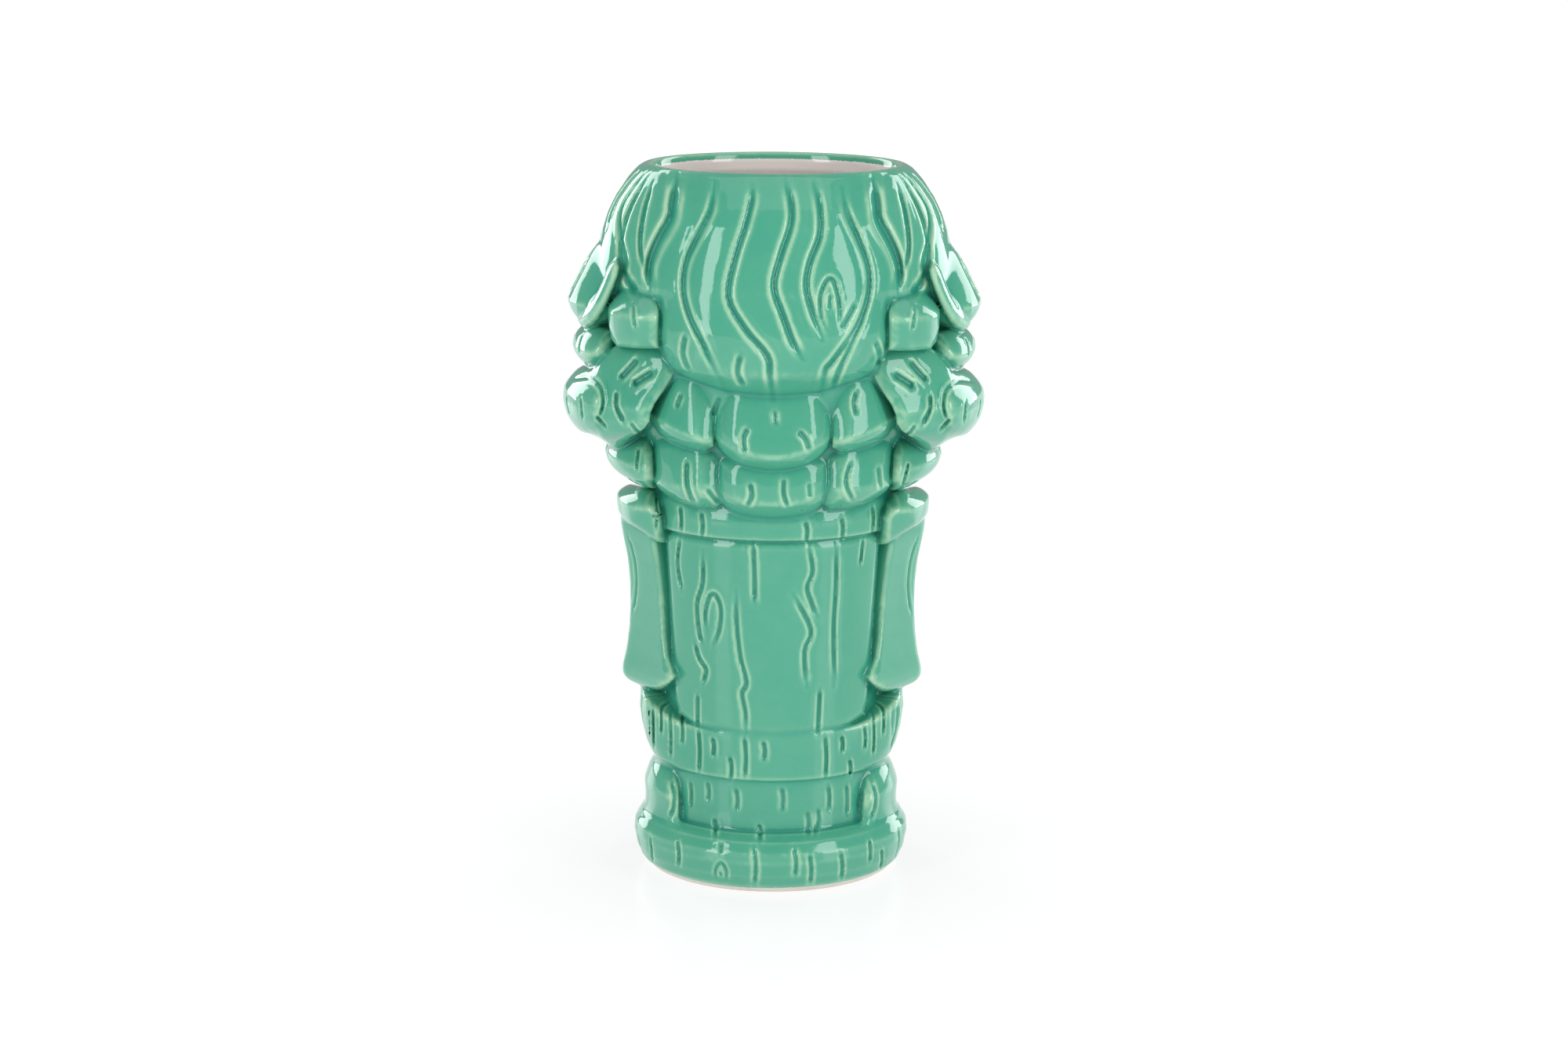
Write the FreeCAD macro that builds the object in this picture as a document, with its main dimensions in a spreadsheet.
import FreeCAD, Part
import os

import Sketcher

# Tiki mug: a slip-cast drinking vessel carved all over in the round.
# Frame: millimetres, +Z up, origin at the centre of the foot on the resting plane.
# The face looks along -Y, the back of the head along +Y, and the figure's own left is +X.
#
# The vessel is a turned core with a hollow. Every raised carving on it is the overlap of two
# blanks: a prism, which gives its outline as seen square on, and a turned band, which gives
# how far it stands out at each height. The core and the carvings that lie over it are then
# cut away, so that all neighbours meet face to face.

doc = FreeCAD.newDocument("tiki_mug")

# ---------------------------------------------------------------- driving dimensions

VESSEL = {
    "rim_height": 177.0,        # top of the lip above the table
    "rim_outer_rad": 33.4,
    "rim_inner_rad": 29.8,
    "lip_low": 172.5,           # underside of the rounded lip
    "lip_flare": 3.0,           # how far the lip's underside stands out past its top
    "lip_slope": 1.8,           # the same, part way up the sloping outside
    "lip_slope_drop": 2.6,      # height of that point below the top
    "lip_edge": 0.9,            # rounding of the two top edges
    "lip_edge_drop": 0.7,
    "lip_side": 0.3,
    "lip_inner_drop": 1.5,      # where the lip meets the white glaze inside
    "base_height": 1.5,         # recessed bottom, clear of the table
    "floor_height": 6.5,        # inside floor of the hollow
    "floor_bevel": 4.0,         # sloping corner between the floor and the wall
    "lower_bore_rad": 23.5,     # hollow inside the head
    "upper_bore_rad": 36.0,     # hollow inside the hair
    "shoulder_low": 88.0,       # where the hollow starts to widen
    "shoulder_top": 122.0,
    "neck_in_low": 158.0,       # where the hollow starts to narrow to the lip
    "skin": 0.6,                # white glaze inside
    "core_foot_rad": 27.0,
    "core_head_rad": 26.5,
    "core_hair_rad": 38.5,
    "core_lip_rad": 33.0,
    "foot_top": 15.0,
    "foot_rad": 34.8,
    "foot_widest": 8.5,         # height at which the foot ring is widest
    "foot_under": 2.6,          # how far the bare foot tucks in at the table
    "foot_tuck": 1.8,           # and where the glaze starts
    "foot_side": 0.3,           # slope of the foot ring's side
    "foot_edge": 3.8,           # width of the foot ring's sloping top
    "foot_edge_low": 4.0,       # lower and upper corners of that slope, below the ring's top
    "foot_edge_top": 1.2,
    "foot_inner_rad": 25.5,
    "bare_top": 1.6,            # unglazed clay below this height
    "neck_rad": 28.4,
    "neck_flare": 0.3,          # the neck is wider at the foot and narrower at its waist
    "neck_waist": 0.6,
    "neck_waist_rise": 5.0,
    "jaw_low": 27.3,
    "jaw_top": 40.0,
    "jaw_rad": 33.2,
    "jaw_under": 4.2,           # how far the band's underside is set in
    "jaw_lower_lip": 2.8,
    "jaw_lower_rise": 1.7,
    "jaw_swell": 0.7,           # the band swells outwards up to its top edge
    "jaw_swell_rise": 7.5,
    "jaw_edge": 0.8,
}

# Each carving: lowest and highest point, half width, furthest reach from the axis, and the
# direction that it faces, in degrees from the back (+Y) towards the figure's left (+X).
CARVINGS = {
    "back_hood": (124.0, 172.5, 29.0, 47.5, 0.0),
    "front_hood": (116.0, 172.5, 25.0, 47.5, 180.0),
    "square_knob": (135.0, 148.8, 8.6, 49.2, 45.0),
    "diamond_lobe": (138.0, 158.6, 18.0, 50.3, 72.0),
    "small_lobe": (128.4, 138.2, 15.0, 49.4, 71.0),
    "side_curl": (111.6, 136.0, 27.0, 52.3, 62.0),
    "side_hair": (140.0, 172.5, 37.0, 45.4, 84.0),
    "front_lock": (104.0, 147.0, 18.0, 46.0, 132.0),
    "row_a_centre": (106.5, 126.0, 13.4, 43.8, 0.0),
    "row_a_side": (109.0, 129.5, 11.0, 43.8, 33.0),
    "row_b_centre": (94.7, 107.5, 13.4, 39.4, 0.0),
    "row_b_side": (95.6, 110.5, 11.2, 39.8, 32.0),
    "row_b_outer": (97.4, 113.0, 17.0, 41.4, 68.0),
    "fringe_centre": (97.0, 117.0, 12.0, 42.4, 180.0),
    "fringe_side": (97.0, 121.0, 12.5, 42.4, 146.0),
    "brow_knob": (84.6, 97.2, 11.5, 38.8, 74.0),
    "collar_ring": (88.7, 97.0, 32.0, 32.4, 0.0),
    "ear": (46.0, 88.0, 17.0, 38.2, 78.0),
    "head_back": (40.0, 88.7, 27.5, 30.2, 0.0),
    "brow_ridge": (76.5, 89.0, 27.0, 37.0, 180.0),
    "eye": (64.5, 75.0, 7.6, 35.0, 157.0),
    "nose": (53.0, 80.0, 8.0, 41.5, 180.0),
    "cheek": (45.0, 63.0, 8.0, 34.6, 142.0),
    "teeth": (44.6, 49.4, 12.0, 35.2, 180.0),
    "mouth": (41.2, 52.6, 15.5, 36.6, 180.0),
    "face_plane": (40.0, 97.0, 29.0, 32.0, 180.0),
    "chin": (28.6, 41.0, 12.0, 37.4, 180.0),
    "side_bump": (16.6, 29.0, 11.0, 31.6, 68.0),
}

# Outlines seen square on, as shares of the half width (across) and of the height (up).
OUTLINES = {
    "back_hood": [(-0.19, 0.0), (0.19, 0.0), (0.5, 0.05), (0.78, 0.09), (0.91, 0.14), (0.96, 0.27),
                  (0.94, 0.47), (1.0, 0.6), (0.97, 0.7), (0.82, 0.93), (0.84, 1.0), (-0.84, 1.0),
                  (-0.82, 0.93), (-0.97, 0.7), (-1.0, 0.6), (-0.94, 0.47), (-0.96, 0.27),
                  (-0.91, 0.14), (-0.78, 0.09), (-0.5, 0.05)],
    "front_hood": [(-0.3, 0.0), (0.3, 0.0), (0.75, 0.1), (0.95, 0.3), (1.0, 0.6), (0.85, 1.0),
                   (-0.85, 1.0), (-1.0, 0.6), (-0.95, 0.3), (-0.75, 0.1)],
    "square_knob": [(-0.8, 0.0), (0.8, 0.06), (1.0, 0.25), (0.95, 0.85), (0.75, 1.0),
                    (-0.8, 0.95), (-1.0, 0.75), (-0.95, 0.15)],
    "diamond_lobe": [(-0.5, 0.05), (0.0, 0.0), (0.75, 0.06), (1.0, 0.4), (0.65, 0.8),
                     (-0.5, 1.0), (-0.95, 0.75), (-0.85, 0.4)],
    "small_lobe": [(-0.8, 0.05), (0.8, 0.0), (1.0, 0.4), (0.8, 1.0), (-0.85, 1.0), (-1.0, 0.5)],
    "side_curl": [(-0.36, 0.03), (0.1, 0.0), (0.87, 0.17), (1.0, 0.38), (0.78, 0.52), (0.12, 0.68),
                  (-0.29, 0.9), (-0.87, 1.0), (-0.96, 0.75), (-0.95, 0.58), (-0.8, 0.37),
                  (-0.78, 0.22), (-0.6, 0.08)],
    "side_hair": [(-1.0, 0.25), (-0.5, 0.2), (-0.35, 0.0), (1.0, 0.0), (1.0, 1.0), (-1.0, 1.0)],
    "front_lock": [(-0.8, 0.25), (0.2, 0.0), (0.9, 0.12), (1.0, 1.0), (-1.0, 1.0)],
    "row_a_centre": [(-0.75, 0.15), (-0.3, 0.0), (0.3, 0.0), (0.75, 0.15), (1.0, 0.4), (1.0, 0.65),
                     (0.8, 1.0), (-0.8, 1.0), (-1.0, 0.65), (-1.0, 0.4)],
    "row_a_side": [(-0.6, 0.12), (0.2, 0.0), (1.0, 0.1), (1.0, 1.0), (-1.0, 1.0), (-0.85, 0.35)],
    "row_b_centre": [(-0.9, 0.1), (-0.7, 0.0), (0.7, 0.0), (0.9, 0.1), (1.0, 1.0), (-1.0, 1.0)],
    "row_b_side": [(-0.9, 0.0), (0.8, 0.06), (1.0, 0.2), (1.0, 1.0), (-1.0, 1.0)],
    "row_b_outer": [(-0.75, 0.1), (0.4, 0.0), (1.0, 0.15), (1.0, 1.0), (-1.0, 1.0)],
    "fringe_centre": [(-0.7, 0.08), (0.0, 0.0), (0.7, 0.08), (1.0, 0.3), (1.0, 1.0), (-1.0, 1.0),
                      (-1.0, 0.3)],
    "fringe_side": [(-1.0, 0.1), (0.0, 0.0), (0.8, 0.1), (1.0, 0.3), (1.0, 1.0), (-1.0, 1.0)],
    "brow_knob": [(-0.85, 0.25), (-0.1, 0.0), (0.9, 0.1), (1.0, 0.5), (0.85, 1.0), (-0.9, 0.95),
                  (-1.0, 0.6)],
    "collar_ring": [(-1.0, 0.0), (1.0, 0.0), (1.0, 1.0), (-1.0, 1.0)],
    "ear": [(-1.0, 0.1), (-0.8, 0.0), (0.6, 0.0), (0.95, 0.1), (0.55, 0.45), (0.5, 0.8),
            (0.75, 1.0), (-0.7, 1.0), (-0.66, 0.8), (-0.85, 0.4)],
    "head_back": [(-0.88, 0.0), (0.88, 0.0), (1.0, 1.0), (-1.0, 1.0)],
    "brow_ridge": [(-1.0, 0.0), (-0.55, 0.3), (0.0, 0.05), (0.55, 0.3), (1.0, 0.0), (0.95, 0.55),
                   (0.5, 1.0), (0.0, 0.85), (-0.5, 1.0), (-0.95, 0.55)],
    "eye": [(-1.0, 0.4), (-0.5, 0.05), (0.2, 0.0), (1.0, 0.5), (0.5, 0.92), (-0.3, 1.0)],
    "nose": [(-1.0, 0.1), (-0.7, 0.0), (0.7, 0.0), (1.0, 0.1), (0.8, 0.28), (0.4, 1.0),
             (-0.4, 1.0), (-0.8, 0.28)],
    "cheek": [(-0.8, 0.1), (0.4, 0.0), (1.0, 0.4), (0.8, 0.95), (-0.6, 1.0), (-1.0, 0.6)],
    "teeth": [(-1.0, 0.15), (-0.85, 0.0), (0.85, 0.0), (1.0, 0.15), (1.0, 0.85), (0.85, 1.0),
              (-0.85, 1.0), (-1.0, 0.85)],
    "mouth": [(-1.0, 0.35), (-0.7, 0.0), (0.7, 0.0), (1.0, 0.35), (1.0, 0.7), (0.75, 1.0),
              (-0.75, 1.0), (-1.0, 0.7)],
    "face_plane": [(-0.8, 0.0), (0.8, 0.0), (1.0, 0.4), (1.0, 1.0), (-1.0, 1.0), (-1.0, 0.4)],
    "chin": [(-0.7, 0.0), (0.7, 0.0), (1.0, 0.35), (0.9, 1.0), (-0.9, 1.0), (-1.0, 0.35)],
    "side_bump": [(-0.9, 0.1), (0.7, 0.0), (1.0, 0.45), (0.6, 1.0), (-0.7, 1.0), (-1.0, 0.6)],
}

# How far each carving stands out, from its lowest point up: shares of the reach and of the height.
BANDS = {
    "back_hood": [(0.87, 0.0), (0.985, 0.14), (1.0, 0.33), (0.97, 0.54), (0.905, 0.75),
                  (0.845, 0.91), (0.765, 1.0)],
    "front_hood": [(0.88, 0.0), (0.97, 0.15), (1.0, 0.4), (0.97, 0.6), (0.905, 0.79), (0.845, 0.92),
                   (0.765, 1.0)],
    "square_knob": [(0.96, 0.0), (1.0, 0.3), (0.98, 0.8), (0.94, 1.0)],
    "diamond_lobe": [(0.95, 0.0), (1.0, 0.28), (0.87, 1.0)],
    "small_lobe": [(0.965, 0.0), (1.0, 0.4), (0.975, 1.0)],
    "side_curl": [(0.9, 0.0), (0.975, 0.17), (1.0, 0.34), (0.95, 0.6), (0.9, 1.0)],
    "side_hair": [(0.97, 0.0), (1.0, 0.22), (0.95, 0.52), (0.9, 0.77), (0.865, 0.89), (0.795, 1.0)],
    "front_lock": [(0.88, 0.0), (1.0, 0.4), (0.98, 1.0)],
    "row_a_centre": [(0.88, 0.0), (1.0, 0.3), (0.91, 1.0)],
    "row_a_side": [(0.88, 0.0), (1.0, 0.3), (0.91, 1.0)],
    "row_b_centre": [(0.87, 0.0), (1.0, 0.35), (0.94, 1.0)],
    "row_b_side": [(0.87, 0.0), (1.0, 0.35), (0.94, 1.0)],
    "row_b_outer": [(0.88, 0.0), (1.0, 0.5), (0.98, 1.0)],
    "fringe_centre": [(0.84, 0.0), (1.0, 0.45), (0.97, 1.0)],
    "fringe_side": [(0.84, 0.0), (1.0, 0.45), (0.97, 1.0)],
    "brow_knob": [(0.97, 0.0), (1.0, 0.5), (0.96, 1.0)],
    "collar_ring": [(0.95, 0.0), (1.0, 0.3), (1.0, 0.8), (0.96, 1.0)],
    "ear": [(0.95, 0.0), (0.98, 0.09), (0.93, 0.5), (0.95, 0.78), (1.0, 1.0)],
    "head_back": [(0.93, 0.0), (0.95, 0.4), (1.0, 1.0)],
    "brow_ridge": [(0.93, 0.0), (1.0, 0.4), (0.93, 1.0)],
    "eye": [(0.93, 0.0), (1.0, 0.5), (0.95, 1.0)],
    "nose": [(0.92, 0.0), (1.0, 0.15), (0.86, 1.0)],
    "cheek": [(0.93, 0.0), (1.0, 0.55), (0.92, 1.0)],
    "teeth": [(1.0, 0.0), (1.0, 1.0)],
    "mouth": [(0.95, 0.0), (1.0, 0.3), (1.0, 0.75), (0.95, 1.0)],
    "face_plane": [(0.96, 0.0), (0.98, 0.4), (1.0, 1.0)],
    "chin": [(0.88, 0.0), (1.0, 0.45), (0.95, 1.0)],
    "side_bump": [(0.9, 0.0), (1.0, 0.5), (0.92, 1.0)],
}

# Carvings that come as a left one and its mirror image.
PAIRED = {"square_knob", "diamond_lobe", "small_lobe", "side_curl", "side_hair", "front_lock",
          "row_a_side", "row_b_side", "row_b_outer", "fringe_side", "brow_knob", "ear", "eye",
          "cheek", "side_bump"}

# What lies over each carving, besides the core. Carvings are made in this order.
COVERED_BY = {
    "back_hood": [],
    "front_hood": [],
    "square_knob": ["back_hood"],
    "diamond_lobe": ["back_hood", "square_knob"],
    "small_lobe": ["back_hood", "square_knob", "diamond_lobe"],
    "side_curl": ["back_hood", "square_knob", "diamond_lobe", "small_lobe"],
    "side_hair": ["back_hood", "front_hood", "square_knob", "diamond_lobe", "small_lobe"],
    "front_lock": ["front_hood", "side_hair", "diamond_lobe", "small_lobe", "side_curl"],
    "row_a_centre": ["back_hood"],
    "row_a_side": ["back_hood", "row_a_centre", "side_curl", "square_knob"],
    "row_b_centre": ["row_a_centre", "row_a_side", "row_a_side_right"],
    "row_b_side": ["row_a_centre", "row_a_side", "row_b_centre", "side_curl"],
    "row_b_outer": ["row_a_side", "row_b_side", "side_curl", "front_lock"],
    "fringe_centre": ["front_hood"],
    "fringe_side": ["front_hood", "front_lock", "fringe_centre", "side_curl", "row_b_outer"],
    "brow_knob": ["row_b_outer", "row_b_side", "fringe_side"],
    "collar_ring": ["brow_knob", "brow_knob_right", "row_b_centre", "row_b_side",
                    "row_b_side_right", "row_b_outer", "row_b_outer_right"],
    "ear": ["brow_knob", "collar_ring", "jaw_band"],
    "head_back": ["ear", "ear_right", "brow_knob", "brow_knob_right", "collar_ring"],
    "brow_ridge": ["brow_knob", "brow_knob_right", "ear", "ear_right"],
    "nose": ["brow_ridge"],
    "eye": ["brow_ridge", "nose"],
    "cheek": ["nose", "eye", "ear"],
    "teeth": [],
    "mouth": ["teeth", "nose", "cheek", "cheek_right"],
    "chin": ["mouth"],
    "face_plane": ["brow_ridge", "nose", "eye", "eye_right", "cheek", "cheek_right", "mouth",
                   "teeth", "ear", "ear_right", "chin", "brow_knob", "brow_knob_right",
                   "fringe_centre", "fringe_side", "fringe_side_right"],
    "side_bump": ["jaw_band", "foot_ring"],
}

BLANK_INNER_RAD = 20.0          # blanks start inside the core, which is cut away afterwards
PRISM_DEPTH = 60.0              # blanks end beyond the furthest reach


def fill_sheet():
    sheet = doc.addObject("Spreadsheet::Sheet", "sizes")
    rows = dict(VESSEL)
    for name, (low, top, half, reach, facing) in CARVINGS.items():
        rows[name + "_low"] = low
        rows[name + "_top"] = top
        rows[name + "_half"] = half
        rows[name + "_reach"] = reach
        rows[name + "_facing"] = facing
    for row, (alias, value) in enumerate(rows.items(), start=1):
        sheet.set("A%d" % row, alias)
        sheet.set("B%d" % row, "%g" % value)
        sheet.setAlias("B%d" % row, alias)
    doc.recompute()


def plane_of(body, role):
    return next(f for f in body.Origin.OriginFeatures if f.Role == role)


def outline_sketch(body, name, corners):
    """A closed polygon in the body's XZ plane. Each corner is a pair of expressions."""
    sketch = body.newObject("Sketcher::SketchObject", name)
    sketch.AttachmentSupport = [(plane_of(body, "XZ_Plane"), "")]
    sketch.MapMode = "FlatFace"
    values = [(sheet_value(x), sheet_value(z)) for x, z in corners]
    points = [FreeCAD.Vector(x, z, 0) for x, z in values]
    count = len(points)
    for i in range(count):
        sketch.addGeometry(Part.LineSegment(points[i], points[(i + 1) % count]), False)
    for i in range(count):
        sketch.addConstraint(Sketcher.Constraint("Coincident", i, 2, (i + 1) % count, 1))
    for i, (x, z) in enumerate(corners):
        for kind, expression, value in (("DistanceX", x, values[i][0]), ("DistanceY", z, values[i][1])):
            index = sketch.addConstraint(Sketcher.Constraint(kind, -1, 1, i, 1, value))
            sketch.setExpression("Constraints[%d]" % index, expression)
    return sketch


def sheet_value(expression):
    return float(doc.getObject("sizes").evalExpression(expression.replace("sizes.", "")))


def turned_body(name, corners):
    """A solid turned about Z from a closed polygon of (radius, height) expressions."""
    body = doc.addObject("PartDesign::Body", name)
    sketch = outline_sketch(body, name + "_profile", corners)
    turn = body.newObject("PartDesign::Revolution", name + "_turn")
    turn.Profile = sketch
    turn.ReferenceAxis = (sketch, ["V_Axis"])
    turn.Angle = 360.0
    sketch.Visibility = False
    return body


def share(name, part):
    return "(sizes.%s_low + %g * (sizes.%s_top - sizes.%s_low))" % (name, part, name, name)


def prism_body(name):
    """The carving's outline, padded outwards in the direction that the carving faces."""
    body = doc.addObject("PartDesign::Body", name + "_prism")
    corners = [("%g * sizes.%s_half" % (across, name), share(name, up)) for across, up in OUTLINES[name]]
    sketch = outline_sketch(body, name + "_outline", corners)
    pad = body.newObject("PartDesign::Pad", name + "_pad")
    pad.Profile = sketch
    pad.Length = PRISM_DEPTH
    pad.Reversed = True
    sketch.Visibility = False
    body.Placement = FreeCAD.Placement(FreeCAD.Vector(0, 0, 0), FreeCAD.Rotation(FreeCAD.Vector(0, 0, 1), 0))
    body.setExpression("Placement.Rotation.Angle", "-1 * sizes.%s_facing" % name)
    return body


def band_body(name):
    """A turned band with the carving's stand-out at each height."""
    low, top = share(name, 0), share(name, 1)
    inner = "%g" % BLANK_INNER_RAD
    corners = [(inner, low)]
    corners += [("%g * sizes.%s_reach" % (out, name), share(name, up)) for out, up in BANDS[name]]
    corners += [(inner, top)]
    return turned_body(name + "_band", corners)


def less(base, tool, name):
    cut = doc.addObject("Part::Cut", name)
    cut.Base = base
    cut.Tool = tool
    return cut


def mirrored(source, name):
    mirror = doc.addObject("Part::Mirroring", name)
    mirror.Source = source
    mirror.Base = (0, 0, 0)
    mirror.Normal = (1, 0, 0)
    return mirror


def carving(name, core, made):
    """The overlap of the prism and the band, less the core and what lies over it."""
    blank = doc.addObject("Part::MultiCommon", name + "_blank")
    blank.Shapes = [prism_body(name), band_body(name)]
    piece = less(blank, core, name + "_on_core")
    for i, over in enumerate(COVERED_BY[name]):
        piece = less(piece, made[over], "%s_less_%d" % (name, i + 1))
    made[name] = piece
    if name in PAIRED:
        made[name + "_right"] = mirrored(piece, name + "_mirror")


def core_corners():
    """Outside of the plain vessel under all the carvings, from the base up."""
    return [
        ("sizes.core_foot_rad", "sizes.base_height"),
        ("sizes.core_foot_rad", "sizes.foot_top"),
        ("sizes.core_head_rad", "sizes.jaw_low"),
        ("sizes.core_head_rad", "sizes.shoulder_low"),
        ("sizes.core_hair_rad", "sizes.shoulder_top"),
        ("sizes.core_hair_rad", "sizes.neck_in_low"),
        ("sizes.core_lip_rad", "sizes.lip_low"),
    ]


def bore_corners(inset):
    """The hollow's wall from the lip down to the floor, moved in by the inset."""
    return [
        ("(sizes.rim_inner_rad - %g * sizes.skin)" % inset, "(sizes.rim_height - sizes.lip_inner_drop)"),
        ("(sizes.rim_inner_rad - %g * sizes.skin)" % inset, "sizes.lip_low"),
        ("(sizes.upper_bore_rad - %g * sizes.skin)" % inset, "sizes.neck_in_low"),
        ("(sizes.upper_bore_rad - %g * sizes.skin)" % inset, "sizes.shoulder_top"),
        ("(sizes.lower_bore_rad - %g * sizes.skin)" % inset, "sizes.shoulder_low"),
        ("(sizes.lower_bore_rad - %g * sizes.skin)" % inset, "(sizes.floor_height + sizes.floor_bevel)"),
        ("(sizes.lower_bore_rad - sizes.floor_bevel - %g * sizes.skin)" % inset,
         "(sizes.floor_height + %g * sizes.skin)" % inset),
    ]


def vessel_parts(made):
    core = turned_body("core", [("0", "sizes.base_height")] + core_corners() + [("0", "sizes.lip_low")])
    bore = bore_corners(0)
    made["mug_body"] = turned_body(
        "vessel",
        [("0", "sizes.base_height")] + core_corners() + bore[1:] + [("0", "sizes.floor_height")])
    glaze = bore_corners(1)
    made["liner_glaze"] = turned_body(
        "liner",
        bore + [("0", "sizes.floor_height"), ("0", "(sizes.floor_height + sizes.skin)")]
        + glaze[::-1])
    made["rim_lip"] = turned_body("lip", [
        ("sizes.rim_inner_rad", "sizes.lip_low"),
        ("(sizes.rim_outer_rad + sizes.lip_flare)", "sizes.lip_low"),
        ("(sizes.rim_outer_rad + sizes.lip_slope)", "(sizes.rim_height - sizes.lip_slope_drop)"),
        ("(sizes.rim_outer_rad + sizes.lip_side)", "(sizes.rim_height - sizes.lip_edge_drop)"),
        ("(sizes.rim_outer_rad - sizes.lip_edge)", "sizes.rim_height"),
        ("(sizes.rim_inner_rad + sizes.lip_edge)", "sizes.rim_height"),
        ("sizes.rim_inner_rad", "(sizes.rim_height - sizes.lip_inner_drop)"),
    ])
    return core


def ring_parts(made):
    made["bare_foot"] = turned_body("bare", [
        ("sizes.foot_inner_rad", "0"),
        ("(sizes.foot_rad - sizes.foot_under)", "0"),
        ("(sizes.foot_rad - sizes.foot_tuck)", "sizes.bare_top"),
        ("sizes.core_foot_rad", "sizes.bare_top"),
        ("sizes.core_foot_rad", "sizes.base_height"),
        ("sizes.foot_inner_rad", "sizes.base_height"),
    ])
    made["foot_ring"] = turned_body("foot", [
        ("sizes.core_foot_rad", "sizes.bare_top"),
        ("(sizes.foot_rad - sizes.foot_tuck)", "sizes.bare_top"),
        ("sizes.foot_rad", "sizes.foot_widest"),
        ("(sizes.foot_rad - sizes.foot_side)", "(sizes.foot_top - sizes.foot_edge_low)"),
        ("(sizes.foot_rad - sizes.foot_tuck)", "(sizes.foot_top - sizes.foot_edge_top)"),
        ("(sizes.foot_rad - sizes.foot_edge)", "sizes.foot_top"),
        ("sizes.core_foot_rad", "sizes.foot_top"),
    ])
    made["neck_band"] = turned_body("neck", [
        ("sizes.core_foot_rad", "sizes.foot_top"),
        ("(sizes.neck_rad + sizes.neck_flare)", "sizes.foot_top"),
        ("(sizes.neck_rad - sizes.neck_waist)", "(sizes.foot_top + sizes.neck_waist_rise)"),
        ("(sizes.neck_rad - sizes.neck_flare)", "sizes.jaw_low"),
        ("sizes.core_head_rad", "sizes.jaw_low"),
    ])
    made["jaw_band"] = turned_body("jaw", [
        ("sizes.core_head_rad", "sizes.jaw_low"),
        ("(sizes.jaw_rad - sizes.jaw_under)", "sizes.jaw_low"),
        ("(sizes.jaw_rad - sizes.jaw_lower_lip)", "(sizes.jaw_low + sizes.jaw_lower_rise)"),
        ("(sizes.jaw_rad - sizes.jaw_swell)", "(sizes.jaw_low + sizes.jaw_swell_rise)"),
        ("sizes.jaw_rad", "(sizes.jaw_top - sizes.jaw_edge)"),
        ("(sizes.jaw_rad - sizes.jaw_edge)", "sizes.jaw_top"),
        ("sizes.core_head_rad", "sizes.jaw_top"),
    ])


def node_name(key):
    if key in PAIRED:
        return key + "_left"
    return key


def build():
    fill_sheet()
    made = {}
    core = vessel_parts(made)
    ring_parts(made)
    for name in COVERED_BY:
        carving(name, core, made)
    # the rings and the chin meet the carvings that pass in front of them
    made["jaw_band"] = less(made["jaw_band"], made["chin"], "jaw_less_chin")
    made["neck_band"] = less(made["neck_band"], made["side_bump"], "neck_less_bump")
    made["neck_band"] = less(made["neck_band"], made["side_bump_right"], "neck_less_bump_right")
    doc.recompute()
    return made


def check_document():
    for obj in doc.Objects:
        if "Invalid" in obj.State or "Error" in obj.State:
            raise RuntimeError("%s failed: %s" % (obj.Name, obj.State))


def write_parts(made):
    os.makedirs("parts", exist_ok=True)
    for key, obj in made.items():
        obj.Label = node_name(key)
        shape = obj.Shape
        if shape.isNull() or not shape.isValid() or not shape.Solids:
            raise RuntimeError("%s has no valid solid" % obj.Label)
    for obj in made.values():
        obj.Shape.exportStep("parts/%s.step" % obj.Label)
        print("%-20s solids %d volume %8.0f" % (obj.Label, len(obj.Shape.Solids), obj.Shape.Volume))


parts = build()
check_document()
write_parts(parts)
